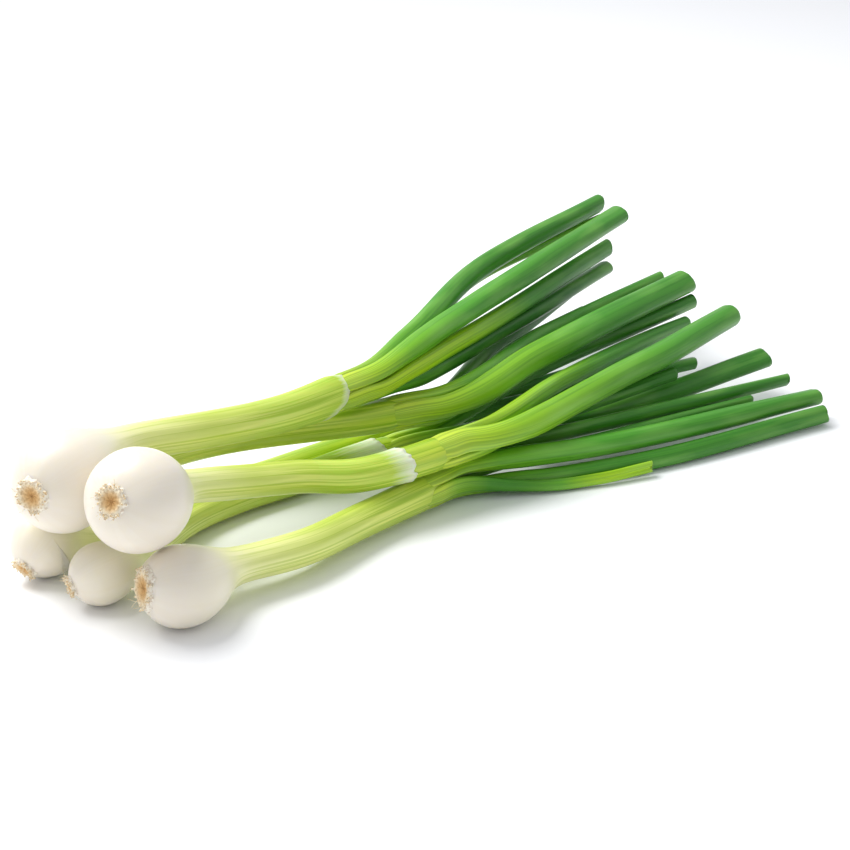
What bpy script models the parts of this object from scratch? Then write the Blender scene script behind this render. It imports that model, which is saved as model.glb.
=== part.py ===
"""Spring onion bunch: six bulbed spring onions lying in a loose pile, their leaves cut off level.

+X runs from the bulbs to the cut leaf tips and +Z is up. The origin is the middle of the bunch's
footprint, on the surface that it lies on. Every onion is its swollen bulb and shaft in one piece, its
root plate under the bulb, and hollow leaves that fan out of the shaft's mouth.

The routes below are the layout that the pile is meant to have. space_out() then eases crowded pieces
apart, as they do when they are laid down, so that nothing overlaps.
"""

import itertools
import math

import bpy
import numpy as np
from mathutils import Vector

MM = 0.001
GAP = 0.55  # air kept between neighbouring pieces, mm

# Cross-sections, all in mm except the counts and shares.
STALK_RESOLUTION = 6  # 16 sides
LEAF_RESOLUTION = 2  # 8 sides
LEAF_WALL = 1.0
LEAF_RINGS = 13
RINGS_CROWD = 1.4  # over 1, the rings are closer together near the leaf's base
LEAF_SWELLS_OVER = 80.0  # a leaf reaches its full width this far out of the shaft
LEAF_TIP_SHARE = 0.93  # width at the cut tip, as a share of the full width
LEAF_STRAIGHT_START = 7.0
LEAF_LIFT_OFF = 0.5  # gap between the shaft's mouth and a leaf's base
NECK_LENGTH = 2.0  # bulb centre to the end of the neck's taper, in bulb radii
SHAFT_RING_STEP = 15.0
PLATE_THICKNESS = 2.2
PLATE_GAP = 0.35
PLATE_STEPS = 14

# Each route is in mm: for a stalk from the bulb's centre to the mouth of the shaft, for a leaf the
# middle and the cut tip. "root" points from the bulb's centre to its root plate.
ONIONS = {
    "onion_1": {
        "bulb": 19.1,
        "shaft": 7.2,
        "root": (-0.92, -0.39, 0.06),
        "plate": 6.2,
        "route": [(-201, -33, 43), (-167, -24, 45), (-138, -27, 43), (-104, -32, 42), (-69, -30, 42)],
        "leaves": [
            {"middle": (46, 15, 56), "tip": (144, 40, 60), "radius": 4.6},
            {"middle": (52, 22, 50), "tip": (145, 39, 52), "radius": 3.0},
            {"middle": (23, -9, 52), "tip": (144, 26, 58), "radius": 5.3},
            {"middle": (20, -12, 42), "tip": (136, 25, 44), "radius": 3.9},
            {"middle": (28, -8, 35), "tip": (136, 26, 34), "radius": 4.2},
        ],
    },
    "onion_2": {
        "bulb": 14.0,
        "shaft": 7.0,
        "root": (-0.84, 0.29, -0.46),
        "plate": 4.5,
        "route": [(-184, 4, 22), (-150, -2, 27), (-113, -9, 28), (-81, -19, 27), (-59, -26, 26), (-41, -31, 26)],
        "leaves": [
            {"middle": (34, -34, 34), "tip": (141, -19, 37), "radius": 5.8},
            {"middle": (42, 2, 24), "tip": (138, 37, 28), "radius": 4.0},
            {"middle": (60, -8, 28), "tip": (143, -3, 34), "radius": 3.8},
            {"middle": (34, -10, 26), "tip": (98, 1, 28), "radius": 3.0},
        ],
    },
    "onion_3": {
        "bulb": 18.7,
        "shaft": 6.7,
        "root": (-0.82, -0.39, 0.41),
        "plate": 5.6,
        "route": [
            (-198, -71, 46), (-162, -54, 35), (-132, -50, 28), (-111, -53, 25), (-93, -62, 23), (-77, -66, 23),
            (-51, -69, 24),
        ],
        "leaves": [
            {"middle": (34, -69, 28), "tip": (134, -51, 31), "radius": 5.9},
            {"middle": (34, -46, 24), "tip": (133, -26, 22), "radius": 3.9},
            {"middle": (40, -63, 20), "tip": (84, -68, 20), "radius": 3.0},
        ],
    },
    "onion_4": {
        "bulb": 13.4,
        "shaft": 5.6,
        "root": (-0.91, -0.31, -0.28),
        "plate": 4.6,
        "route": [(-202, -16, 13.5), (-178, -19, 10), (-125, -8, 7), (-94, -12, 7), (-66, -10, 7), (-32, -8, 7)],
        "leaves": [
            {"middle": (47, -21, 6), "tip": (125, -40, 8), "radius": 3.9},
            {"middle": (58, -10, 6), "tip": (136, -12, 6), "radius": 4.2},
        ],
    },
    "onion_5": {
        "bulb": 11.5,
        "shaft": 5.7,
        "root": (-0.93, 0.28, -0.21),
        "plate": 3.8,
        "route": [(-199, -49, 11.5), (-170, -39, 9), (-141, -25, 7), (-110, -21, 7), (-84, -20, 7), (-37, -25, 8)],
        "leaves": [
            {"middle": (43, -25, 22), "tip": (143, -22, 28), "radius": 3.8},
            {"middle": (45, -59, 12), "tip": (137, -70, 16), "radius": 4.6},
        ],
    },
    "onion_6": {
        "bulb": 15.0,
        "shaft": 7.1,
        "root": (-0.94, 0.28, 0.17),
        "plate": 7.4,
        "route": [(-187, -80, 15), (-165, -77, 13), (-133, -79, 11), (-98, -72, 9), (-57, -66, 8.6)],
        "leaves": [
            {"middle": (16, -86, 12), "tip": (130, -104, 9), "radius": 4.9},
            {"middle": (30, -73, 12), "tip": (134, -86, 11), "radius": 3.3},
            {"middle": (28, -75, 10), "tip": (106, -87, 9), "radius": 2.6},
            {"middle": (12, -91, 4), "tip": (127, -113, 5), "radius": 3.9},
            {"middle": (-7, -88, 4), "tip": (34, -101, 5), "radius": 2.2},
        ],
    },
}

# How space_out() eases pieces apart: what a piece resists, and how hard two that touch push.
SPACING_ROUNDS = 80
STAY_PUT = 2e-4
KEEP_HEADING = 0.02
RESIST_BENDING = 60.0
CONTACT = 12000.0
LONGEST_STEP = 2.0
NEARLY = 0.3  # pieces this little apart already resist coming nearer, mm


# ---------------------------------------------------------------- routes


def smooth_route(points, count):
    """`count` evenly spaced points on a smooth curve through the given ones, which may be unevenly spaced."""
    points = np.array(points, float)
    legs = np.linalg.norm(np.diff(points, axis=0), axis=1)
    slopes = np.diff(points, axis=0) / legs[:, None]
    inner = (slopes[:-1] * legs[1:, None] + slopes[1:] * legs[:-1, None]) / (legs[1:] + legs[:-1])[:, None]
    slopes = np.concatenate([slopes[:1], inner, slopes[-1:]])
    t = np.linspace(0, 1, 40, endpoint=False)[:, None]
    fine = []
    for a, b, ahead, behind, leg in zip(points, points[1:], slopes, slopes[1:], legs):
        fine.append(
            (2 * t**3 - 3 * t**2 + 1) * a
            + (t**3 - 2 * t**2 + t) * leg * ahead
            + (3 * t**2 - 2 * t**3) * b
            + (t**3 - t**2) * leg * behind
        )
    fine.append(points[-1:])
    return resample(np.concatenate(fine), np.linspace(0, 1, count))


def lengths_along(points):
    steps = np.linalg.norm(np.diff(points, axis=0), axis=1)
    return np.concatenate([[0], np.cumsum(steps)])


def resample(points, shares):
    """Points at these shares of a line's length."""
    along = lengths_along(points)
    return np.stack([np.interp(shares * along[-1], along, points[:, k]) for k in range(3)], 1)


def unit(vector):
    return np.array(vector, float) / np.linalg.norm(vector)


def tangents(points):
    steps = np.diff(points, axis=0)
    steps /= np.linalg.norm(steps, axis=1)[:, None]
    inner = steps[:-1] + steps[1:]
    inner /= np.linalg.norm(inner, axis=1)[:, None]
    return np.concatenate([steps[:1], inner, steps[-1:]])


def smoothstep(t):
    t = np.clip(t, 0, 1)
    return t * t * (3 - 2 * t)


# ---------------------------------------------------------------- the bulb and shaft


def stalk_radius(along, onion, length):
    """The stalk's radius at a distance from the root pole: a globe, a neck that tapers, the shaft."""
    bulb, shaft = onion["bulb"], onion["shaft"]
    if along < bulb:
        return math.sqrt(max(bulb**2 - (bulb - along) ** 2, 0))
    neck = min((along - bulb) / (NECK_LENGTH * bulb), 1)
    taper = 0.5 + 0.5 * math.cos(math.pi * neck)
    mouth = 1 + 0.06 * smoothstep(1 - (length - along) / 25)
    return (shaft + (bulb - shaft) * taper) * mouth


def stalk_stations(onion, length):
    """Distances of the rings from the root pole: close together round the bulb, wider along the shaft."""
    bulb = onion["bulb"]
    seat = bulb - math.sqrt(bulb**2 - onion["plate"] ** 2)
    start = math.acos(1 - seat / bulb)
    globe = [bulb * (1 - math.cos(a)) for a in np.linspace(start, math.pi / 2, 7)]
    neck = [bulb * (1 + NECK_LENGTH * t) for t in (0.22, 0.42, 0.6, 0.8, 1.0)]
    rest = length - neck[-1]
    steps = max(2, round(rest / SHAFT_RING_STEP))
    shaft = [neck[-1] + rest * k / steps for k in range(1, steps + 1)]
    return np.array(globe + neck + shaft)


def stalk_tube(onion):
    """The stalk as ring centres and radii, with the radii that neighbours keep clear of."""
    centre = np.array(onion["route"][0], float)
    root_pole = centre + onion["bulb"] * unit(onion["root"])
    line = smooth_route([root_pole, *onion["route"]], 200)
    length = lengths_along(line)[-1]
    stations = stalk_stations(onion, length)
    radii = np.array([stalk_radius(s, onion, length) for s in stations])
    return {
        "points": resample(line, stations / length),
        "radii": radii,
        "clear": np.minimum(radii, stations),
        "held": 0,
    }


# ---------------------------------------------------------------- the leaves


def mouth_slots(onion, stalk):
    """Where each leaf leaves the mouth of the shaft: evenly round it, each on the side it spreads to."""
    mouth = stalk["points"][-1]
    forward = tangents(stalk["points"])[-1]
    side = unit(np.cross(forward, (0, 0, 1)))
    up = np.cross(side, forward)
    ways = np.array([unit(np.array(leaf["middle"]) - mouth) for leaf in onion["leaves"]])
    spread = ways - ways.mean(0)
    count = len(ways)
    ratio = math.sin(math.pi / count)
    offset = (stalk["radii"][-1] + GAP / 2) / (1 + ratio)
    best, best_fit = None, -math.inf
    for order in itertools.permutations(range(count)):
        for turn in range(12):
            angles = 2 * math.pi * (np.array(order) + turn / 12) / count
            places = np.cos(angles)[:, None] * side + np.sin(angles)[:, None] * up
            fit = (places * spread).sum()
            if fit > best_fit + 1e-9:
                best, best_fit = places, fit
    return mouth + offset * best, forward, offset * ratio - GAP / 2


def leaf_tube(leaf, start, forward, base_radius):
    """A leaf as ring centres and radii, narrow where it leaves the mouth and full a little further out."""
    base = start + LEAF_LIFT_OFF * forward
    line = smooth_route([base, base + LEAF_STRAIGHT_START * forward, leaf["middle"], leaf["tip"]], 200)
    length = lengths_along(line)[-1]
    first = LEAF_STRAIGHT_START / length
    shares = np.concatenate([[0], first + (1 - first) * np.linspace(0, 1, LEAF_RINGS - 1) ** RINGS_CROWD])
    along = shares * length
    swell = smoothstep(along / min(LEAF_SWELLS_OVER, 0.6 * length))
    taper = 1 - (1 - LEAF_TIP_SHARE) * smoothstep((shares - 0.5) / 0.5)
    narrow = min(base_radius, leaf["radius"])
    radii = (narrow + (leaf["radius"] - narrow) * swell) * taper
    return {
        "points": resample(line, shares),
        "radii": radii,
        "clear": radii.copy(),
        "held": 2,
    }


# ---------------------------------------------------------------- laying the pile


def closest_on_segments(p, u, q, v):
    """Shares s, t along segments p+s*u and q+t*v where each pair comes nearest."""
    w = p - q
    a = (u * u).sum(1)
    b = (u * v).sum(1)
    c = (v * v).sum(1)
    d = (u * w).sum(1)
    e = (v * w).sum(1)
    det = a * c - b * b
    s = np.where(det > 1e-9, (b * e - c * d) / np.maximum(det, 1e-9), 0.5)
    s = np.clip(s, 0, 1)
    t = np.clip((b * s + e) / c, 0, 1)
    s = np.clip((b * t - d) / a, 0, 1)
    return s, t


def segment_pairs(tubes, fixed):
    """Every pair of segments on two different pieces that could come to touch."""
    owner, first = [], []
    for k, tube in enumerate(tubes):
        for i in range(len(tube["points"]) - 1):
            owner.append(k)
            first.append(i)
    owner, first = np.array(owner), np.array(first)
    i, j = np.triu_indices(len(owner), 1)
    can_touch = owner[i] != owner[j]
    can_touch &= ~(fixed[owner[i]] & fixed[owner[j]])
    for k, tube in enumerate(tubes):
        base = tube.get("grows_from")
        if base is not None:
            can_touch &= ~(((owner[i] == k) & (owner[j] == base)) | ((owner[j] == k) & (owner[i] == base)))
    keep = np.nonzero(can_touch)[0]
    return owner, first, i[keep], j[keep]


def bending_matrix(tubes):
    """How strongly the pieces resist being bent or carried away from their routes."""
    count = sum(len(tube["points"]) for tube in tubes)
    matrix = np.zeros((count, count))
    start = 0
    for tube in tubes:
        along = lengths_along(tube["points"])
        size = len(along)
        own = np.eye(size) * STAY_PUT * np.gradient(along)[:, None]
        for k in range(size - 1):
            leg = along[k + 1] - along[k]
            row = np.zeros(size)
            row[k], row[k + 1] = -1 / leg, 1 / leg
            own += KEEP_HEADING * leg * np.outer(row, row)
        for k in range(1, size - 1):
            before, after = along[k] - along[k - 1], along[k + 1] - along[k]
            span = (before + after) / 2
            row = np.zeros(size)
            row[k - 1], row[k + 1] = 1 / before, 1 / after
            row[k] = -row[k - 1] - row[k + 1]
            own += RESIST_BENDING * np.outer(row, row) / span
        matrix[start : start + size, start : start + size] = own
        start += size
    return matrix


def space_out(tubes, fixed):
    """Eases pieces apart, each bending as the springy thing it is, until none is nearer than GAP.

    Places are rounded to a hundredth of a millimetre, so that every computer lays the same pile.
    """
    for tube, still in zip(tubes, fixed):
        if still:
            tube["held"] = len(tube["points"])
    owner, first, i, j = segment_pairs(tubes, np.array(fixed))
    starts = np.cumsum([0] + [len(t["points"]) for t in tubes])
    node = starts[owner] + first
    points = np.concatenate([t["points"] for t in tubes])
    clear = np.concatenate([t["clear"] for t in tubes])
    routes = points.copy()
    free = [np.arange(starts[k] + tube["held"], starts[k + 1]) for k, tube in enumerate(tubes)]
    free = np.concatenate(free)
    bending = np.kron(bending_matrix(tubes)[np.ix_(free, free)], np.eye(3))
    for turn in range(SPACING_ROUNDS):
        u, v = points[node + 1] - points[node], clear[node + 1] - clear[node]
        s, t = closest_on_segments(points[node[i]], u[i], points[node[j]], u[j])
        apart = points[node[i]] + s[:, None] * u[i] - points[node[j]] - t[:, None] * u[j]
        distance = np.linalg.norm(apart, axis=1)
        reach = clear[node[i]] + s * v[i] + clear[node[j]] + t * v[j] + GAP
        near = np.nonzero(reach + NEARLY > distance)[0]
        low = free[clear[free] + NEARLY > points[free, 2]]
        rows = np.zeros((len(near) + len(low), len(points), 3))
        count = np.arange(len(near))
        way = apart[near] / np.maximum(distance[near], 1e-6)[:, None]
        for segment, share, sign in ((i[near], s[near], 1), (j[near], t[near], -1)):
            rows[count, node[segment]] += sign * (1 - share)[:, None] * way
            rows[count, node[segment] + 1] += sign * share[:, None] * way
        rows[len(near) + np.arange(len(low)), low, 2] = 1
        rows = rows[:, free].reshape(len(rows), 3 * len(free))
        short = np.maximum(np.concatenate([(reach - distance)[near], (clear - points[:, 2])[low]]), 0)
        pull = CONTACT * rows.T @ short - bending @ (points - routes)[free].ravel()
        step = np.linalg.solve(bending + CONTACT * rows.T @ rows, pull).reshape(-1, 3)
        length = np.linalg.norm(step, axis=1)[:, None]
        share = 0.6 * (1 - 0.6 * turn / SPACING_ROUNDS)
        step *= share * np.minimum(1, LONGEST_STEP / np.maximum(length, 1e-9))
        points[free] = np.round(points[free] + step, 2)
    for k, tube in enumerate(tubes):
        tube["points"] = points[starts[k] : starts[k + 1]]


def round_root_end(tube):
    """Sets the rings under the widest one back on a half globe, as far off it as their radii say."""
    points, radii = tube["points"], tube["radii"]
    widest = radii.argmax()
    outward = unit(points[0] - points[widest])
    for i in range(widest):
        stand_off = math.sqrt(radii[widest] ** 2 - radii[i] ** 2)
        points[i] = np.round(points[widest] + stand_off * outward, 2)


def lay_bunch():
    """Every piece's tube, by name, where it lies in the pile."""
    tubes = {name: stalk_tube(onion) for name, onion in ONIONS.items()}
    space_out(list(tubes.values()), [False] * len(tubes))
    for tube in tubes.values():
        round_root_end(tube)
    stalk_names = list(tubes)
    for name, onion in ONIONS.items():
        slots, forward, base_radius = mouth_slots(onion, tubes[name])
        for k, (leaf, slot) in enumerate(zip(onion["leaves"], slots), 1):
            tube = leaf_tube(leaf, slot, forward, base_radius)
            tube["grows_from"] = stalk_names.index(name)
            tubes[f"{name}_leaf_{k}"] = tube
    fixed = [name in stalk_names for name in tubes]
    space_out(list(tubes.values()), fixed)
    return tubes


# ---------------------------------------------------------------- solids


def tube_curve(name, tube, resolution, capped):
    """A round tube along the piece's line, as wide at each point as the piece is there."""
    curve = bpy.data.curves.new(name, "CURVE")
    curve.dimensions = "3D"
    curve.bevel_depth = MM
    curve.bevel_resolution = resolution
    curve.use_fill_caps = capped
    spline = curve.splines.new("POLY")
    spline.points.add(len(tube["points"]) - 1)
    for point, place, radius in zip(spline.points, tube["points"], tube["radii"]):
        point.co = (*(place * MM), 1)
        point.radius = radius
    return bpy.data.objects.new(name, curve)


def make_stalk(name, tube, collection):
    obj = tube_curve(name, tube, STALK_RESOLUTION, True)
    collection.objects.link(obj)
    return obj


def make_leaf(name, tube, collection):
    """A thin-walled tube, open at its base inside the mouth and at its cut tip."""
    guide = tube_curve(name + "_line", tube, LEAF_RESOLUTION, False)
    collection.objects.link(guide)
    graph = bpy.context.evaluated_depsgraph_get()
    mesh = bpy.data.meshes.new_from_object(guide.evaluated_get(graph))
    bpy.data.objects.remove(guide)
    mesh.name = name
    obj = bpy.data.objects.new(name, mesh)
    collection.objects.link(obj)
    wall = obj.modifiers.new("wall", "SOLIDIFY")
    wall.thickness = LEAF_WALL * MM
    wall.offset = -1
    wall.use_even_offset = True
    return obj


def make_root_plate(name, stalk, onion, collection):
    """The corky disc that the roots grew from, turned about the bulb's axis."""
    radius = onion["plate"]
    seat, outward = stalk["points"][0], -tangents(stalk["points"])[0]
    low, high = PLATE_GAP, PLATE_GAP + PLATE_THICKNESS
    profile = [
        (0, high - 0.5),
        (0.5 * radius, high),
        (0.85 * radius, high - 0.3),
        (radius, low + 0.9),
        (0.93 * radius, low),
        (0, low),
    ]
    mesh = bpy.data.meshes.new(name)
    edges = [(k, k + 1) for k in range(len(profile) - 1)]
    mesh.from_pydata([(x * MM, 0, z * MM) for x, z in profile], edges, [])
    obj = bpy.data.objects.new(name, mesh)
    collection.objects.link(obj)
    turn = obj.modifiers.new("turned", "SCREW")
    turn.steps = turn.render_steps = PLATE_STEPS
    turn.use_merge_vertices = True
    turn.merge_threshold = 0.00001
    turn.use_smooth_shade = True
    obj.rotation_mode = "QUATERNION"
    obj.rotation_quaternion = Vector(outward).to_track_quat("Z", "Y")
    obj.location = Vector(seat) * MM
    return obj


# ---------------------------------------------------------------- materials


def material(name, colour, roughness):
    made = bpy.data.materials.new(name)
    made.use_nodes = True
    shader = made.node_tree.nodes["Principled BSDF"]
    shader.inputs["Base Color"].default_value = (*colour, 1)
    shader.inputs["Roughness"].default_value = roughness
    shader.inputs["Metallic"].default_value = 0
    return made


def main():
    for obj in list(bpy.data.objects):
        bpy.data.objects.remove(obj)
    collection = bpy.data.collections.new("spring_onion_bunch")
    bpy.context.scene.collection.children.link(collection)
    tubes = lay_bunch()
    for name, onion in ONIONS.items():
        stalk = make_stalk(f"{name}_bulb_and_shaft", tubes[name], collection)
        stalk.data.materials.append(material(f"{name}_white_flesh", (0.86, 0.88, 0.68), 0.35))
        plate = make_root_plate(f"{name}_root_plate", tubes[name], onion, collection)
        plate.data.materials.append(material(f"{name}_dry_root", (0.65, 0.50, 0.28), 0.85))
        for k in range(1, len(onion["leaves"]) + 1):
            leaf = make_leaf(f"{name}_leaf_{k}", tubes[f"{name}_leaf_{k}"], collection)
            leaf.data.materials.append(material(f"{name}_leaf_{k}_green", (0.10, 0.33, 0.05), 0.4))
    stand_on_origin(collection)


def stand_on_origin(collection):
    """Moves the whole bunch so that the middle of its footprint is at the origin."""
    graph = bpy.context.evaluated_depsgraph_get()
    corners = []
    for obj in collection.objects:
        evaluated = obj.evaluated_get(graph)
        corners += [tuple(evaluated.matrix_world @ v.co) for v in evaluated.to_mesh().vertices]
        evaluated.to_mesh_clear()
    corners = np.array(corners)
    low, high = corners.min(0), corners.max(0)
    shift = Vector((-(low[0] + high[0]) / 2, -(low[1] + high[1]) / 2, -low[2]))
    for obj in collection.objects:
        obj.location += shift


main()
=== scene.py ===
"""Looks of the spring onion bunch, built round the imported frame."""

import math

import bmesh
import bpy
import numpy as np
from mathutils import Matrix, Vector


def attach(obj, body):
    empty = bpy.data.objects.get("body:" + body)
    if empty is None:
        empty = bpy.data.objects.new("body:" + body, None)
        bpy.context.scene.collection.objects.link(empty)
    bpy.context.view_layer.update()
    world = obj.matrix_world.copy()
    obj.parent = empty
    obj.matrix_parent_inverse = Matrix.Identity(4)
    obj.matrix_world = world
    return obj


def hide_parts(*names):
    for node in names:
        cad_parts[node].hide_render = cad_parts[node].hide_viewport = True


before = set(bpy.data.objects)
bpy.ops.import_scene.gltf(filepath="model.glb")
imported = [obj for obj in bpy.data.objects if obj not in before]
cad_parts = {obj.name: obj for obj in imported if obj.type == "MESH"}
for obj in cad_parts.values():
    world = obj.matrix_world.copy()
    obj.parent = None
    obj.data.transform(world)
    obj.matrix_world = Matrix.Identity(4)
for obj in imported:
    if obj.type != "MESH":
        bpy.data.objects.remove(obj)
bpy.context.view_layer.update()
MM = 0.001


# ---- Bulbs and shafts
# A spring onion's bulb and shaft are one body of rolled leaf bases: wet, waxy flesh, white where it
# grew in the soil and yellow-green where light reached it. Fine veins run its whole length. It is one
# closed piece for each onion, drawn through the rings of its node in the frame.

LEAVES = {1: 5, 2: 4, 3: 3, 4: 2, 5: 2, 6: 5}  # leaves of each onion
FLESH_SIDES = 120
FLESH_STEP = 0.8 * MM
GIRTH = 47 * MM  # round a shaft of 15 mm, for the spacing of its veins
BULB_SET_IN = 0.012  # share by which the bulb and the shaft stay inside their nodes, for the ribs
SHAFT_SET_IN = 0.035
MOUTH_TUCK = 0.16  # share by which the shaft narrows at its mouth, under the leaf bases
TUCK_LENGTH = 8 * MM
NECK_WIDER_THAN_SHAFT = 1.22  # the neck is where the bulb has narrowed to this much of the shaft


def linear(code):
    """Linear colour of an sRGB hex value."""
    parts = [int(code[i : i + 2], 16) / 255 for i in (1, 3, 5)]
    return tuple(c / 12.92 if c <= 0.04045 else ((c + 0.055) / 1.055) ** 2.4 for c in parts) + (1,)


def add(tree, kind, links=None, out=0, stops=None, **settings):
    """Adds a node with its settings, its inputs linked or set, and a ramp's stops. Gives one output."""
    node = tree.nodes.new(kind)
    for name, value in settings.items():
        setattr(node, name, value)
    for name, value in (links or {}).items():
        if isinstance(value, bpy.types.NodeSocket):
            tree.links.new(value, node.inputs[name])
        else:
            node.inputs[name].default_value = linear(value) if isinstance(value, str) else value
    if stops:
        node.color_ramp.interpolation = "LINEAR"
        band = node.color_ramp.elements
        while len(band) < len(stops):
            band.new(0.5)
        for stop, (place, colour) in zip(band, stops):
            stop.position = place
            stop.color = linear(colour) if isinstance(colour, str) else (colour, colour, colour, 1)
    return node.outputs[out]


def unit(v):
    return v / np.linalg.norm(v)


def ease(t):
    t = np.clip(t, 0, 1)
    return t * t * (3 - 2 * t)


def rings_of(node, way):
    """Centres, facing directions and radii of a tube's rings, from the end that faces this way along X."""
    bm = bmesh.new()
    bm.from_mesh(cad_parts[node].data)
    bmesh.ops.remove_doubles(bm, verts=bm.verts, dist=0.001 * MM)
    cap = max(bm.faces, key=lambda f: way * f.normal.x)
    level = set()
    for face in bm.faces:
        off = abs((face.calc_center_median() - cap.calc_center_median()).dot(cap.normal))
        if face.normal.dot(cap.normal) > 0.95 and off < 0.3 * MM:
            level.update(face.verts)
    seen, centres, facings, radii = set(level), [], [], []
    while level:
        places = np.array([v.co for v in level])
        centre = places.mean(0)
        facing = np.linalg.svd(places - centre)[2][2]
        centres.append(centre)
        facings.append(facing)
        radii.append(np.linalg.norm(places - centre, axis=1).max())
        level = {e.other_vert(v) for v in level for e in v.link_edges} - seen
        seen |= level
    bm.free()
    return np.array(centres), np.array(facings), np.array(radii)


def distance_along(points):
    return np.concatenate([[0], np.cumsum(np.linalg.norm(np.diff(points, axis=0), axis=1))])


def spline(at, values, wanted):
    """Natural cubic spline through values at these distances, read at the wanted ones."""
    values = np.array(values, float).reshape(len(at), -1)
    h = np.diff(at)
    slope = np.diff(values, axis=0) / h[:, None]
    system = np.eye(len(at))
    right = np.zeros_like(values)
    for i in range(1, len(at) - 1):
        system[i, i - 1 : i + 2] = h[i - 1], 2 * (h[i - 1] + h[i]), h[i]
        right[i] = 6 * (slope[i] - slope[i - 1])
    bend = np.linalg.solve(system, right)
    k = np.clip(np.searchsorted(at, wanted, side="right") - 1, 0, len(at) - 2)
    a = ((at[k + 1] - wanted) / h[k])[:, None]
    b = 1 - a
    curve = (a**3 - a) * bend[k] + (b**3 - b) * bend[k + 1]
    return a * values[k] + b * values[k + 1] + curve * (h[k] ** 2)[:, None] / 6


def even_line(centres, facings, radii, step):
    """The rings again, at even steps along a smooth line: distances, centres, facings and radii."""
    at = distance_along(centres)
    ways = np.gradient(centres, at, axis=0)
    facings = facings * np.sign((facings * ways).sum(1))[:, None]
    wanted = np.linspace(0, at[-1], max(2, int(at[-1] / step)))
    turned = spline(at, facings, wanted)
    turned /= np.linalg.norm(turned, axis=1)[:, None]
    return wanted, spline(at, centres, wanted), turned, spline(at, radii, wanted)[:, 0]


def carried(facings, first_side):
    """Two directions across the line at each ring, carried along it without twisting."""
    sides, ups = [], []
    side = first_side
    for way in facings:
        side = unit(side - (side @ way) * way)
        sides.append(side)
        ups.append(np.cross(way, side))
    return np.array(sides), np.array(ups)


def ring_at(centre, side, up, reach, angle):
    return centre + np.outer(reach * np.cos(angle), side) + np.outer(reach * np.sin(angle), up)


def skin(name, rings, start_cap=False, end_cap=False, second_from=None):
    """A mesh through closed rings of equal counts. Faces from row second_from on take material 2."""
    rows, count = len(rings), len(rings[0])
    faces, slots = [], []
    for i in range(rows - 1):
        for j in range(count):
            k = (j + 1) % count
            faces.append((i * count + j, i * count + k, (i + 1) * count + k, (i + 1) * count + j))
            slots.append(int(second_from is not None and i >= second_from))
    if start_cap:
        faces.append(tuple(range(count))[::-1])
        slots.append(0)
    if end_cap:
        faces.append(tuple((rows - 1) * count + j for j in range(count)))
        slots.append(int(second_from is not None))
    mesh = bpy.data.meshes.new(name)
    mesh.from_pydata(np.concatenate(rings).tolist(), [], faces)
    mesh.polygons.foreach_set("material_index", slots)
    mesh.shade_smooth()
    obj = bpy.data.objects.new(name, mesh)
    bpy.context.scene.collection.objects.link(obj)
    return obj


def note(obj, **values):
    """Keeps numbers at the mesh's points for its material."""
    for name, numbers in values.items():
        full = np.broadcast_to(np.asarray(numbers, float), (len(obj.data.vertices),))
        kept = obj.data.attributes.new(name, "FLOAT", "POINT")
        kept.data.foreach_set("value", np.ascontiguousarray(full, np.float32))


def veins(tree, spacing, length, girth, seed):
    """Streaks along the piece, this far apart round a body of this girth, each about this long."""
    turns = girth / spacing / (2 * math.pi)
    cosine = add(tree, "ShaderNodeAttribute", out="Fac", attribute_name="cosine")
    sine = add(tree, "ShaderNodeAttribute", out="Fac", attribute_name="sine")
    along = add(tree, "ShaderNodeAttribute", out="Fac", attribute_name="along")
    x = add(tree, "ShaderNodeMath", {0: cosine, 1: turns}, operation="MULTIPLY")
    y = add(tree, "ShaderNodeMath", {0: sine, 1: turns}, operation="MULTIPLY")
    z = add(tree, "ShaderNodeMath", {0: along, 1: 1 / length, 2: seed}, operation="MULTIPLY_ADD")
    place = add(tree, "ShaderNodeCombineXYZ", {0: x, 1: y, 2: z})
    return add(tree, "ShaderNodeTexNoise", {"Vector": place, "Scale": 1.0, "Detail": 1.5, "Roughness": 0.5})


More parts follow.
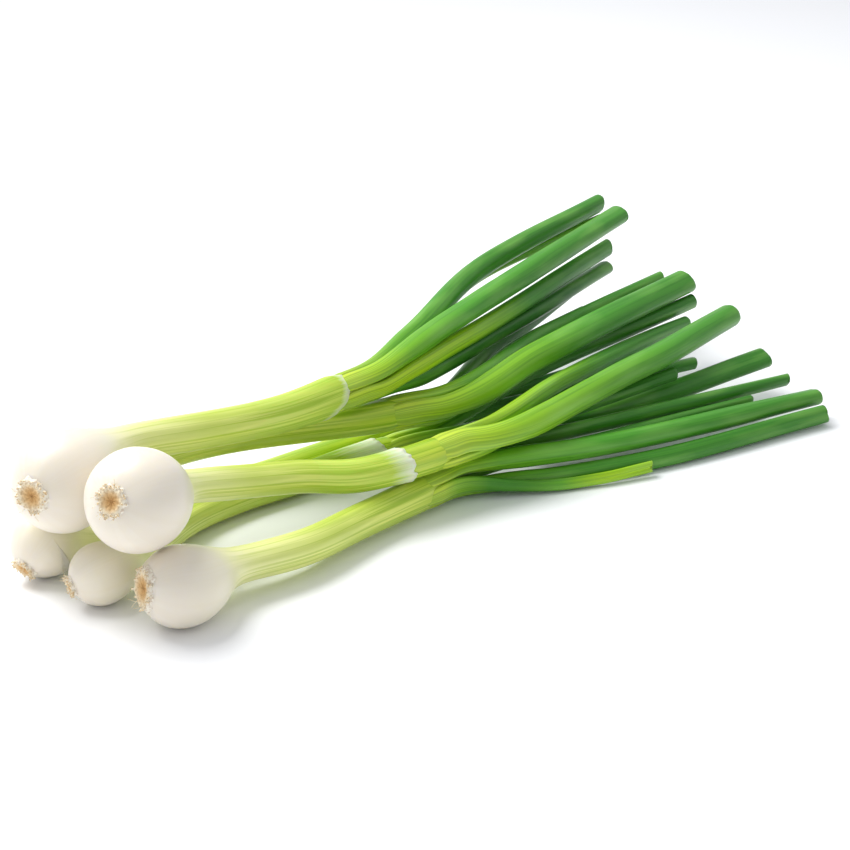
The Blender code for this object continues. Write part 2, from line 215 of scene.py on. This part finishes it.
def flesh_colours(tree):
    """White bulb, cream neck and yellow-green shaft, with darker veins the further it saw the light."""
    from_neck = add(tree, "ShaderNodeAttribute", out="Fac", attribute_name="from_neck")
    # 0 is 25 mm before the neck, on the bulb, and 1 is 125 mm past it, near the leaves.
    place = add(
        tree, "ShaderNodeMapRange", {"Value": from_neck, "From Min": -25 * MM, "From Max": 125 * MM}
    )
    body = add(tree, "ShaderNodeValToRGB", {"Fac": place}, stops=[
        (0.00, "#E9E1D2"), (0.09, "#ECE6CF"), (0.16, "#F3F0C2"), (0.25, "#E9EBA4"), (0.42, "#E0E688"),
        (0.70, "#D4DF66"), (1.00, "#C0D53C"),
    ])
    vein = add(tree, "ShaderNodeValToRGB", {"Fac": place}, stops=[
        (0.00, "#E6DAC4"), (0.12, "#E6DFB8"), (0.20, "#C8D276"), (0.45, "#ADC43C"), (1.00, "#88B010"),
    ])
    strength = add(tree, "ShaderNodeValToRGB", {"Fac": place}, stops=[
        (0.00, 0.22), (0.12, 0.30), (0.24, 0.70), (0.60, 0.90), (1.00, 0.95),
    ])
    # Veins stand about 1 mm apart round a shaft of 15 mm, and 4 mm apart where a skin's rib shows.
    fine = add(tree, "ShaderNodeValToRGB", {"Fac": veins(tree, 1.0 * MM, 70 * MM, GIRTH, 0.0)},
               stops=[(0.44, 0.0), (0.60, 1.0)])
    broad = add(tree, "ShaderNodeValToRGB", {"Fac": veins(tree, 4.0 * MM, 50 * MM, GIRTH, 5.0)},
                stops=[(0.42, 0.0), (0.66, 0.75)])
    most = add(tree, "ShaderNodeMath", {0: fine, 1: broad}, operation="MAXIMUM")
    factor = add(tree, "ShaderNodeMath", {0: most, 1: strength}, operation="MULTIPLY")
    return add(tree, "ShaderNodeMix", {0: factor, 6: body, 7: vein}, out=2, data_type="RGBA")


# Onion flesh: light sinks a few millimetres into it, so its shade is soft, and the wet wax on it
# gives a thin, clear shine.
onion_flesh = bpy.data.materials.new("waxy_onion_flesh")
onion_flesh.use_nodes = True
tree = onion_flesh.node_tree
shader = tree.nodes["Principled BSDF"]
tree.links.new(flesh_colours(tree), shader.inputs["Base Color"])
relief = veins(tree, 1.0 * MM, 90 * MM, GIRTH, 0.0)
from_neck = add(tree, "ShaderNodeAttribute", out="Fac", attribute_name="from_neck")
# The relief fades out on the bulb, over the 15 mm before the neck.
shown = add(tree, "ShaderNodeMapRange", {"Value": from_neck, "From Min": -15 * MM, "From Max": 10 * MM})
relief = add(tree, "ShaderNodeMath", {0: relief, 1: shown}, operation="MULTIPLY")
bump = add(tree, "ShaderNodeBump", {"Strength": 0.45, "Distance": 0.3 * MM, "Height": relief})
tree.links.new(bump, shader.inputs["Normal"])
for socket, value in {
    "Roughness": 0.34, "IOR": 1.42, "Subsurface Weight": 0.35, "Subsurface Radius": (1.0, 0.9, 0.45),
    "Subsurface Scale": 2.5 * MM, "Coat Weight": 0.20, "Coat Roughness": 0.25,
}.items():
    shader.inputs[socket].default_value = value

shafts = {}  # each onion's distances, rings and the direction of its mouth, for the pieces on it
for n in LEAVES:
    node = f"onion_{n}_bulb_and_shaft"
    centres, facings, radii = rings_of(node, 1)
    centres, facings, radii = centres[::-1], facings[::-1], radii[::-1]
    # The root end is a half globe: each ring stands off the widest one as its radius on a globe says.
    widest = radii.argmax()
    root_way = unit(centres[0] - centres[widest])
    for i in range(widest):
        centres[i] = centres[widest] + math.sqrt(radii[widest] ** 2 - radii[i] ** 2) * root_way
        facings[i] = root_way
    along, line, ways, wide = even_line(centres, facings, radii, FLESH_STEP)
    sides, ups = carried(ways, unit(np.cross(ways[0], (0.3, 0.2, 1.0))))
    angle = 2 * math.pi * np.arange(FLESH_SIDES) / FLESH_SIDES
    phase = np.random.default_rng(100 + n).uniform(0, 2 * math.pi, 8)
    on_bulb = ease((wide - wide[-1]) / (wide.max() - wide[-1]))
    tuck = 1 - MOUTH_TUCK * ease((along - along[-1] + TUCK_LENGTH) / TUCK_LENGTH)
    rings = []
    for i, s in enumerate(along):
        # The skins below the outermost one show as low ribs on the bulb and soft flutes on the shaft.
        ribs = 0.006 * np.cos(2 * angle + phase[0]) + 0.005 * np.cos(3 * angle + phase[1])
        ribs = ribs + 0.0012 * np.cos(11 * angle + phase[2]) + 0.0006 * np.cos(17 * angle + phase[3])
        flutes = 0.022 * np.cos(2 * angle + phase[4] + 12 * s) + 0.014 * np.cos(5 * angle + phase[5])
        flutes = flutes + 0.008 * np.cos(9 * angle + phase[6] + 6 * s)
        shape = 1 + on_bulb[i] * (ribs - BULB_SET_IN) + (1 - on_bulb[i]) * (flutes - SHAFT_SET_IN)
        rings.append(ring_at(line[i], sides[i], ups[i], wide[i] * tuck[i] * shape, angle))
    obj = skin(node + "_flesh", rings, start_cap=True, end_cap=True)
    past_bulb = np.arange(len(along)) > wide.argmax()
    neck = along[np.flatnonzero(past_bulb & (wide < NECK_WIDER_THAN_SHAFT * wide[-1]))[0]]
    note(
        obj,
        along=np.repeat(along, FLESH_SIDES),
        from_neck=np.repeat(along - neck, FLESH_SIDES),
        cosine=np.tile(np.cos(angle), len(along)),
        sine=np.tile(np.sin(angle), len(along)),
    )
    obj.data.materials.append(onion_flesh)
    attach(obj, "root")
    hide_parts(node)
    shafts[n] = {
        "along": along, "rings": np.array(rings), "line": line, "neck": neck,
        "mouth": line[-1], "forward": ways[-1], "radius": wide[-1],
        "seat": line[0], "root_way": -ways[0], "root_side": sides[0], "root_radius": wide[0],
    }


# ---- Sheath ends
# The outermost leaf base dries to a papery skin that stops short of the leaves. Its end is torn and
# pale, stands a little off the shaft, and runs obliquely round it. Three onions of the bunch show one.

SHEATH_ROWS = 26
# Distance of the end from the mouth, how oblique it is, how far round its furthest point lies, how
# jagged it is, and how far from its end it has dried white.
SHEATHS = {
    1: (1.5 * MM, 7 * MM, 5.1, 0.8 * MM, 5 * MM),
    3: (19 * MM, 2 * MM, 0.6, 2.4 * MM, 11 * MM),
    5: (5 * MM, 3 * MM, 1.4, 1.6 * MM, 22 * MM),
}
SHEATH_SHOWS = 45 * MM  # how far down the shaft it can still be told from the flesh
SHEATH_LIFT = 0.6 * MM
SHEATH_SUNK = 0.35 * MM  # how deep in the flesh it starts, so that it comes out without a step
PAPER = 0.18 * MM

# Dried onion skin: the flesh's own colour shows through it, and it turns to white, fibrous paper at
# the torn end, which has no shine.
papery_skin = bpy.data.materials.new("papery_onion_skin")
papery_skin.use_nodes = True
tree = papery_skin.node_tree
shader = tree.nodes["Principled BSDF"]
to_end = add(tree, "ShaderNodeAttribute", out="Fac", attribute_name="to_end")
fibre = veins(tree, 0.8 * MM, 16 * MM, GIRTH, 3.0)
ragged = add(tree, "ShaderNodeMath", {0: fibre, 1: -0.9, 2: to_end}, operation="MULTIPLY_ADD")
dry = add(tree, "ShaderNodeMapRange", {"Value": ragged, "From Min": 0.45, "From Max": -0.45})
paper = add(tree, "ShaderNodeMix", {0: fibre, 6: "#F4F2E6", 7: "#D8DBB4"}, out=2, data_type="RGBA")
colour = add(tree, "ShaderNodeMix", {0: dry, 6: flesh_colours(tree), 7: paper}, out=2, data_type="RGBA")
tree.links.new(colour, shader.inputs["Base Color"])
bump = add(tree, "ShaderNodeBump", {"Strength": 0.5, "Distance": 0.3 * MM, "Height": fibre})
tree.links.new(bump, shader.inputs["Normal"])
for socket, value in {"Roughness": 0.5, "IOR": 1.45, "Subsurface Weight": 0.2,
                      "Subsurface Scale": 1.5 * MM}.items():
    shader.inputs[socket].default_value = value

for n, (short_of_mouth, oblique, turned, jagged, dried) in SHEATHS.items():
    shaft = shafts[n]
    draw = np.random.default_rng(300 + n)
    angle = 2 * math.pi * np.arange(FLESH_SIDES) / FLESH_SIDES
    torn = sum(
        draw.uniform(0.4, 1) / k**0.5 * np.cos(k * angle + draw.uniform(0, 6)) for k in (4, 7, 11, 17, 23)
    )
    end = shaft["along"][-1] - short_of_mouth + oblique * (np.cos(angle - turned) - 1) + jagged * torn / 2
    start = end.min() - SHEATH_SHOWS
    rows, to_edge = [], []
    for share in np.linspace(0, 1, SHEATH_ROWS):
        s = start + (end - start) * share
        place = np.interp(s, shaft["along"], np.arange(len(shaft["along"])))
        low = np.minimum(place.astype(int), len(shaft["along"]) - 2)
        part = (place - low)[:, None]
        j = np.arange(FLESH_SIDES)
        on = shaft["rings"][low, j] * (1 - part) + shaft["rings"][low + 1, j] * part
        axis = shaft["line"][low] * (1 - part) + shaft["line"][low + 1] * part
        off = (on - axis) / np.linalg.norm(on - axis, axis=1)[:, None]
        flare = SHEATH_LIFT * (0.5 * share**2 + 0.5 * share**8 * (1 + 0.25 * torn))
        flare = flare - SHEATH_SUNK * (1 - share) ** 2
        rows.append(on + off * flare[:, None])
        to_edge.append(end - s)
    obj = skin(f"onion_{n}_sheath", rows)
    note(
        obj,
        to_end=np.concatenate(to_edge) / dried,
        along=np.concatenate([end - t for t in to_edge]),
        from_neck=np.concatenate([end - t - shaft["neck"] for t in to_edge]),
        cosine=np.tile(np.cos(angle), SHEATH_ROWS),
        sine=np.tile(np.sin(angle), SHEATH_ROWS),
    )
    thick = obj.modifiers.new("paper_thickness", "SOLIDIFY")
    thick.thickness = PAPER
    thick.offset = 1
    obj.data.materials.append(papery_skin)
    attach(obj, "root")


# ---- Leaves
# Each leaf is a hollow tube of thin waxy flesh. At the mouth of the shaft the leaves still fit
# together like the segments of one round body, and further out each swells to a tube of its own. One
# stroke of a knife cut off their tips, which leaves them open.

LEAF_SIDES = 48
LEAF_STEP = 1.6 * MM
STARTS_BEFORE_MOUTH = 9 * MM
SEGMENT_OPENS_OVER = 46 * MM
LEAF_WALL = 0.7 * MM
HOLLOW_DEPTH = 45 * MM
LEAF_GIRTH = 31 * MM  # round a leaf of 10 mm, for the spacing of its veins
SEGMENT_SOFTNESS = 7.0  # the higher, the sharper the edges where segments meet
BASE_FULLNESS = 0.72  # share of its full radius that a leaf has at the mouth, before it swells
KNIFE_SLANT = 0.9 * MM
RIM_STANDS_OUT = 0.15 * MM
# Each leaf's colour at its base and at its tip, from 0, lime, to 1, dark, and how flat its tip is.
LEAF_LOOKS = {
    (1, 1): (0.62, 0.62, 0.06), (1, 2): (0.10, 0.20, 0.15), (1, 3): (0.45, 0.55, 0.10),
    (1, 4): (0.00, 0.65, 0.12), (1, 5): (0.85, 0.95, 0.10),
    (2, 1): (0.30, 0.55, 0.08), (2, 2): (0.80, 0.90, 0.10), (2, 3): (0.50, 0.65, 0.10),
    (2, 4): (0.70, 0.80, 0.15),
    (3, 1): (0.30, 0.45, 0.02), (3, 2): (0.15, 0.55, 0.12), (3, 3): (0.70, 0.80, 0.15),
    (4, 1): (0.90, 0.90, 0.20), (4, 2): (0.85, 0.85, 0.20),
    (5, 1): (0.60, 0.80, 0.12), (5, 2): (0.75, 0.80, 0.22),
    (6, 1): (0.50, 0.60, 0.14), (6, 2): (0.70, 0.80, 0.16), (6, 3): (0.60, 0.70, 0.14),
    (6, 4): (0.65, 0.75, 0.12), (6, 5): (0.95, 0.00, 0.45),
}


def segment_reach(angle, count, offset, radius):
    """How far one of count segments of a disc reaches from its own middle, where 0 is outwards."""
    across = offset * np.cos(angle)
    edges = [-across + np.sqrt(across**2 - offset**2 + radius**2)]
    half = math.pi / count
    for sign in (1, -1) if count > 1 else ():
        # The flat that the segment shares with its neighbour on this side.
        towards = sign * math.cos(half) * np.sin(angle) - math.sin(half) * np.cos(angle)
        edges.append(np.where(towards > 0.02, math.sin(half) * offset / np.maximum(towards, 0.02), 1))
    return (np.array(edges) ** -SEGMENT_SOFTNESS).sum(0) ** (-1 / SEGMENT_SOFTNESS)


# Living leaf: chlorophyll green under a thin bloom of wax, which softens its shine. It is lime at the
# base, where little light reached it, and each leaf has a green of its own.
waxy_leaf = bpy.data.materials.new("waxy_green_leaf")
waxy_leaf.use_nodes = True
tree = waxy_leaf.node_tree
shader = tree.nodes["Principled BSDF"]
tone = add(tree, "ShaderNodeAttribute", out="Fac", attribute_name="tone")
out = add(tree, "ShaderNodeAttribute", out="Fac", attribute_name="along")
# 0 is the mouth of the shaft and 1 is 200 mm out.
out = add(tree, "ShaderNodeMapRange", {"Value": out, "From Max": 200 * MM})
lime = add(tree, "ShaderNodeValToRGB", {"Fac": out}, stops=[
    (0.0, "#C0D53C"), (0.10, "#B4D424"), (0.30, "#A4CE0C"), (1.0, "#90C618"),
])
middle = add(tree, "ShaderNodeValToRGB", {"Fac": out}, stops=[
    (0.0, "#C0D53C"), (0.06, "#A4CA28"), (0.16, "#70AE20"), (0.38, "#4E9C22"), (1.0, "#469026"),
])
dark = add(tree, "ShaderNodeValToRGB", {"Fac": out}, stops=[
    (0.0, "#BAD238"), (0.04, "#84B61C"), (0.12, "#3A8414"), (0.38, "#246810"), (1.0, "#2A6E16"),
])
to_middle = add(tree, "ShaderNodeMapRange", {"Value": tone, "From Min": 0.0, "From Max": 0.45})
to_dark = add(tree, "ShaderNodeMapRange", {"Value": tone, "From Min": 0.45, "From Max": 1.0})
colour = add(tree, "ShaderNodeMix", {0: to_middle, 6: lime, 7: middle}, out=2, data_type="RGBA")
colour = add(tree, "ShaderNodeMix", {0: to_dark, 6: colour, 7: dark}, out=2, data_type="RGBA")
# Veins about 0.9 mm apart round a leaf of 10 mm, and broad pale streaks, partly thicker wax bloom and
# partly painted highlight.
vein = veins(tree, 0.9 * MM, 80 * MM, LEAF_GIRTH, 0.0)
fine = add(tree, "ShaderNodeValToRGB", {"Fac": vein}, stops=[(0.42, 0.0), (0.62, 0.40)])
colour = add(tree, "ShaderNodeMix", {0: fine, 6: colour, 7: "#226A0C"}, out=2, data_type="RGBA")
# Painted highlight: these pale streaks carry the colour of the soft highlights on the leaves, laid over the
# real wax bloom.
bloom_and_highlight = veins(tree, 6 * MM, 30 * MM, LEAF_GIRTH, 9.0)
bloom_and_highlight = add(tree, "ShaderNodeValToRGB", {"Fac": bloom_and_highlight}, stops=[(0.45, 0.0), (0.75, 0.35)])
colour = add(tree, "ShaderNodeMix", {0: bloom_and_highlight, 6: colour, 7: "#92C860"}, out=2, data_type="RGBA")
tree.links.new(colour, shader.inputs["Base Color"])
bump = add(tree, "ShaderNodeBump", {"Strength": 0.35, "Distance": 0.2 * MM, "Height": vein})
tree.links.new(bump, shader.inputs["Normal"])
for socket, value in {
    "Roughness": 0.42, "IOR": 1.40, "Subsurface Weight": 0.10, "Subsurface Radius": (0.5, 1.0, 0.2),
    "Subsurface Scale": 1.0 * MM, "Coat Weight": 0.08, "Coat Roughness": 0.28,
}.items():
    shader.inputs[socket].default_value = value

# The lining of the hollow and the cut edge of the wall are bare flesh: wet, and paler than the skin at the
# edge. Further in it is painted dark, as the shade inside the hollow.
wet_lining = bpy.data.materials.new("wet_leaf_lining")
wet_lining.use_nodes = True
tree = wet_lining.node_tree
shader = tree.nodes["Principled BSDF"]
depth = add(tree, "ShaderNodeAttribute", out="Fac", attribute_name="depth")
depth = add(tree, "ShaderNodeMapRange", {"Value": depth, "From Max": 8 * MM})
# Painted shade: the lining darkens over the first 8 mm into the hollow, where little light reaches.
shade = add(tree, "ShaderNodeValToRGB", {"Fac": depth}, stops=[
    (0.0, "#7DA53C"), (0.12, "#4F8A2A"), (1.0, "#1E4D14"),
])
vein = veins(tree, 1.2 * MM, 20 * MM, LEAF_GIRTH, 2.0)
colour = add(tree, "ShaderNodeMix", {0: vein, 6: shade, 7: "#3D7A22"}, out=2, data_type="RGBA")
tree.links.new(colour, shader.inputs["Base Color"])
shader.inputs["Roughness"].default_value = 0.3
shader.inputs["IOR"].default_value = 1.4

for (n, k), (base_tone, tip_tone, flat_tip) in LEAF_LOOKS.items():
    node = f"onion_{n}_leaf_{k}"
    centres, facings, radii = rings_of(node, -1)
    shaft = shafts[n]
    forward = shaft["forward"]
    out = centres[0] - shaft["mouth"]
    out = out - (out @ forward) * forward
    offset = np.linalg.norm(out)
    leaf_at, line, ways, wide = even_line(centres, facings, radii, LEAF_STEP)
    lead = np.arange(-STARTS_BEFORE_MOUTH, 0, LEAF_STEP)
    along = np.concatenate([lead, leaf_at])
    line = np.concatenate([line[0] + np.outer(lead, forward), line])
    ways = np.concatenate([np.tile(forward, (len(lead), 1)), ways])
    wide = np.concatenate([np.full(len(lead), radii[0]), wide])
    length = along[-1]
    sides, ups = carried(ways, out / offset)
    angle = 2 * math.pi * np.arange(LEAF_SIDES) / LEAF_SIDES
    phase = np.random.default_rng(1000 + 10 * n + k).uniform(0, 2 * math.pi, 8)
    segment = segment_reach(angle, LEAVES[n], offset, shaft["radius"] * 0.985)
    opened = ease(along / SEGMENT_OPENS_OVER)
    full = wide[along > 0.4 * length].max()
    swollen = np.maximum(wide, full * (BASE_FULLNESS + (1 - BASE_FULLNESS) * opened))
    grown = np.where(along < 0.5 * length, swollen, wide)
    flat = 0.05 + 0.04 * np.cos(phase[0] + 30 * along) + flat_tip * ease((along - length + 0.06) / 0.06)
    rings, linings, linings_at = [], [], []
    for i, s in enumerate(along):
        twist = angle - phase[1] - 2.5 * s
        tube = (1 + flat[i] * np.cos(2 * twist)) / (1 + 0.5 * flat[i])
        tube = tube + 0.012 * np.cos(5 * angle + phase[2] + 20 * s) + 0.008 * np.cos(9 * angle + phase[3])
        reach = (1 - opened[i]) * segment + opened[i] * grown[i] * tube
        # Inside the shaft the segment draws in, so that it rises out of the shaft's skin at the mouth.
        reach = reach * (1 - 0.20 * ease(-s / STARTS_BEFORE_MOUTH))
        rings.append(ring_at(line[i], sides[i], ups[i], reach, angle))
        if length - s < HOLLOW_DEPTH:
            linings.append(ring_at(line[i], sides[i], ups[i], reach - LEAF_WALL, angle))
            linings_at.append(length - s)
    # The knife went through a little aslant, and the cut edge of the wall has rounded as it dried.
    slant = np.outer(np.cos(angle - phase[4]) - 1, ways[-1]) * KNIFE_SLANT
    rings[-1] = rings[-1] + slant
    linings[-1] = linings[-1] + slant
    rim = (rings[-1] + linings[-1]) / 2 + RIM_STANDS_OUT * ways[-1]
    rows = [*rings, rim, *linings[::-1]]
    obj = skin(node + "_blade", rows, start_cap=True, end_cap=True, second_from=len(rings) - 1)
    depth = np.concatenate([np.zeros(len(rings) + 1), linings_at[::-1]])
    spot = np.concatenate([along, [length], length - np.array(linings_at[::-1])])
    note(
        obj,
        along=np.repeat(spot, LEAF_SIDES),
        depth=np.repeat(depth, LEAF_SIDES),
        cosine=np.tile(np.cos(angle), len(rows)),
        sine=np.tile(np.sin(angle), len(rows)),
        tone=np.repeat(base_tone + (tip_tone - base_tone) * ease(spot / length * 2 - 0.6), LEAF_SIDES),
    )
    obj.data.materials.append(waxy_leaf)
    obj.data.materials.append(wet_lining)
    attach(obj, "root")
    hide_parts(node)


# ---- Root plates
# The root plate is a disc of dry cork under the bulb. Its roots were cut and rubbed off, which left a ring
# of pale stubs and a few wiry threads round a tan hollow, painted darker towards its middle as the shade in
# it.

PLATE_SIDES = 64
# The disc's outline from its seat in the bulb over the rim to the hollow: share of its radius, and
# height in millimetres above the seat.
PLATE_OUTLINE = [
    (1.12, -1.6), (1.10, -0.6), (1.04, 0.1), (0.98, 0.7), (0.88, 1.2), (0.74, 1.4), (0.58, 1.1),
    (0.42, 0.8), (0.26, 0.6), (0.05, 0.55),
]
OUTLINE_ROWS = 36
STUBS = 60
THREADS = 9

# Root cork: dried tissue with a torn, matt surface, tan at the rim, with painted shade that darkens it to
# brown towards the middle of the hollow.
root_cork = bpy.data.materials.new("dry_root_cork")
root_cork.use_nodes = True
tree = root_cork.node_tree
shader = tree.nodes["Principled BSDF"]
share = add(tree, "ShaderNodeAttribute", out="Fac", attribute_name="share")
place = add(tree, "ShaderNodeTexCoord", out="Object")
# Grains of about 1 mm.
grain = add(tree, "ShaderNodeTexNoise", {"Vector": place, "Scale": 1000.0, "Detail": 3.0})
# Tan cork, paler towards the rim; the darkening towards the middle of the hollow is painted shade.
cork_tan_and_hollow_shade = add(tree, "ShaderNodeValToRGB", {"Fac": share}, stops=[
    (0.0, "#C79A60"), (0.30, "#D2A86E"), (0.52, "#DFBE8C"), (0.75, "#EBDCBC"), (1.0, "#F0EADB"),
])
spots = add(tree, "ShaderNodeValToRGB", {"Fac": grain}, stops=[(0.44, 0.0), (0.66, 0.45)])
colour = add(tree, "ShaderNodeMix", {0: spots, 6: cork_tan_and_hollow_shade, 7: "#A5763F"}, out=2, data_type="RGBA")
tree.links.new(colour, shader.inputs["Base Color"])
bump = add(tree, "ShaderNodeBump", {"Strength": 0.7, "Distance": 0.5 * MM, "Height": grain})
tree.links.new(bump, shader.inputs["Normal"])
shader.inputs["Roughness"].default_value = 0.85

# Root stubs: pale straw, browned where they were cut.
root_straw = bpy.data.materials.new("dry_root_straw")
root_straw.use_nodes = True
tree = root_straw.node_tree
shader = tree.nodes["Principled BSDF"]
share = add(tree, "ShaderNodeAttribute", out="Fac", attribute_name="share")
place = add(tree, "ShaderNodeTexCoord", out="Object")
# Flecks of about 0.7 mm.
fleck = add(tree, "ShaderNodeTexNoise", {"Vector": place, "Scale": 1400.0, "Detail": 2.0})
straw = add(tree, "ShaderNodeValToRGB", {"Fac": share}, stops=[
    (0.0, "#F3EDDC"), (0.75, "#F0E6CC"), (1.0, "#DCC092"),
])
spots = add(tree, "ShaderNodeValToRGB", {"Fac": fleck}, stops=[(0.48, 0.0), (0.70, 0.40)])
colour = add(tree, "ShaderNodeMix", {0: spots, 6: straw, 7: "#C29B66"}, out=2, data_type="RGBA")
tree.links.new(colour, shader.inputs["Base Color"])
shader.inputs["Roughness"].default_value = 0.8

for n in LEAVES:
    node = f"onion_{n}_root_plate"
    shaft = shafts[n]
    seat, plate = shaft["seat"], shaft["root_radius"]
    outward, side = shaft["root_way"], shaft["root_side"]
    up = np.cross(outward, side)
    draw = np.random.default_rng(2000 + n)
    angle = 2 * math.pi * np.arange(PLATE_SIDES) / PLATE_SIDES
    wobble = sum(draw.uniform(0.02, 0.05) * np.cos(k * angle + draw.uniform(0, 6)) for k in (3, 7, 13))
    outline = np.array(PLATE_OUTLINE)
    at = distance_along(outline * (plate / MM, 1))
    outline = spline(at, outline, np.linspace(0, at[-1], OUTLINE_ROWS))
    rings = []
    for share, height in outline:
        reach = share * plate * 0.97 * (1 + wobble * min(share, 1))
        lumps = 0.12 * MM * np.cos(9 * angle + 7 * share)
        rings.append(ring_at(seat, side, up, reach, angle) + np.outer(height * MM + lumps, outward))
    obj = skin(node + "_cork", rings, end_cap=True)
    note(obj, share=np.repeat(np.clip(outline[:, 0], 0, 1), PLATE_SIDES))
    obj.data.materials.append(root_cork)
    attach(obj, "root")
    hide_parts(node)

    # Stubs stand round the hollow; the threads start between them and curl away.
    stubs = bmesh.new()
    tip = stubs.verts.layers.float.new("share")
    for k in range(STUBS + THREADS):
        thread = k >= STUBS
        reach = math.sqrt(draw.uniform(0.42, 1.05))
        way = draw.uniform(0, 2 * math.pi)
        radial = math.cos(way) * side + math.sin(way) * up
        foot = seat + reach * plate * 0.95 * radial + 0.5 * MM * outward
        lean = unit(outward + (0.15 + 0.75 * reach**2) * radial + 0.22 * draw.normal(size=3))
        length = (draw.uniform(2.0, 3.6) if thread else draw.uniform(0.7, 1.7)) * MM
        thick = (draw.uniform(0.08, 0.12) if thread else draw.uniform(0.28, 0.52)) * MM
        curl = unit(np.cross(lean, draw.normal(size=3))) * (draw.uniform(0.2, 0.9) if thread else 0.2)
        steps, around = (8, 6) if thread else (5, 8)
        t = np.linspace(0, 1, steps)
        path = foot + np.outer(t * length, lean) + np.outer(t**2 * length, curl)
        path[:, 2] = np.maximum(path[:, 2], 0.3 * MM)
        ways = np.gradient(path, axis=0)
        ways /= np.linalg.norm(ways, axis=1)[:, None]
        a, b = carried(ways, unit(np.cross(lean, (0.2, 0.9, 0.4))))
        before = None
        for i in range(steps):
            r = thick * (1 - 0.35 * t[i]) * (1 + 0.12 * math.cos(9 * t[i] + k))
            turn = 2 * math.pi * np.arange(around) / around
            verts = [stubs.verts.new(place) for place in ring_at(path[i], a[i], b[i], r, turn)]
            for vert in verts:
                vert[tip] = t[i]
            if before:
                for j in range(around):
                    nxt = (j + 1) % around
                    stubs.faces.new((before[j], before[nxt], verts[nxt], verts[j]))
            else:
                stubs.faces.new(verts[::-1])
            before = verts
        stubs.faces.new(before)
    mesh = bpy.data.meshes.new(f"onion_{n}_root_stubs")
    stubs.to_mesh(mesh)
    stubs.free()
    mesh.shade_smooth()
    obj = bpy.data.objects.new(f"onion_{n}_root_stubs", mesh)
    bpy.context.scene.collection.objects.link(obj)
    obj.data.materials.append(root_straw)
    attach(obj, "root")


# ---- Table, light and camera
# A white lacquered table top that runs out of sight, in a white studio with one broad soft box above
# and behind on the left.

TABLE_SIZE = 8.0
bpy.ops.mesh.primitive_plane_add(size=TABLE_SIZE, location=(0, 0, -0.1 * MM))
table = bpy.context.object
table.name = "table"
white_lacquer = bpy.data.materials.new("white_lacquer")
white_lacquer.use_nodes = True
tree = white_lacquer.node_tree
shader = tree.nodes["Principled BSDF"]
place = add(tree, "ShaderNodeTexCoord", out="Object")
# Hardly visible clouds of about 300 mm.
cloud = add(tree, "ShaderNodeTexNoise", {"Vector": place, "Scale": 3.0, "Detail": 1.0})
colour = add(tree, "ShaderNodeMix", {0: cloud, 6: "#F8F9FB", 7: "#FBFBFC"}, out=2, data_type="RGBA")
tree.links.new(colour, shader.inputs["Base Color"])
shader.inputs["Roughness"].default_value = 0.6
table.data.materials.append(white_lacquer)

world = bpy.data.worlds.new("white_studio")
bpy.context.scene.world = world
world.use_nodes = True
world.node_tree.nodes["Background"].inputs["Color"].default_value = linear("#F6F8FC")
world.node_tree.nodes["Background"].inputs["Strength"].default_value = 0.68

AZIMUTH = math.radians(-42)
ELEVATION = math.radians(22)
to_camera = Vector((
    math.sin(AZIMUTH) * math.cos(ELEVATION), -math.cos(AZIMUTH) * math.cos(ELEVATION), math.sin(ELEVATION)
))
rightward = Vector((math.cos(AZIMUTH), math.sin(AZIMUTH), 0))
away = Vector((-math.sin(AZIMUTH), math.cos(AZIMUTH), 0))
lamp = bpy.data.lights.new("soft_box", "AREA")
lamp.shape = "DISK"
lamp.size = 0.8
lamp.energy = 13.5
soft_box = bpy.data.objects.new("soft_box", lamp)
bpy.context.scene.collection.objects.link(soft_box)
soft_box.location = -0.50 * rightward + 0.22 * away + Vector((0, 0, 0.90))
soft_box.rotation_mode = "QUATERNION"
soft_box.rotation_quaternion = (Vector((0, 0, 0.02)) - soft_box.location).to_track_quat("-Z", "Y")

AIM = Vector((38.75 * MM, 36.27 * MM, 0))
CAMERA_DISTANCE = 1.0
lens = bpy.data.cameras.new("camera")
lens.lens = 100
lens.sensor_width = 36
camera = bpy.data.objects.new("camera", lens)
bpy.context.scene.collection.objects.link(camera)
camera.location = AIM + CAMERA_DISTANCE * to_camera
camera.rotation_mode = "QUATERNION"
camera.rotation_quaternion = (-to_camera).to_track_quat("-Z", "Y")
bpy.context.scene.camera = camera
bpy.context.scene.view_settings.view_transform = "Standard"
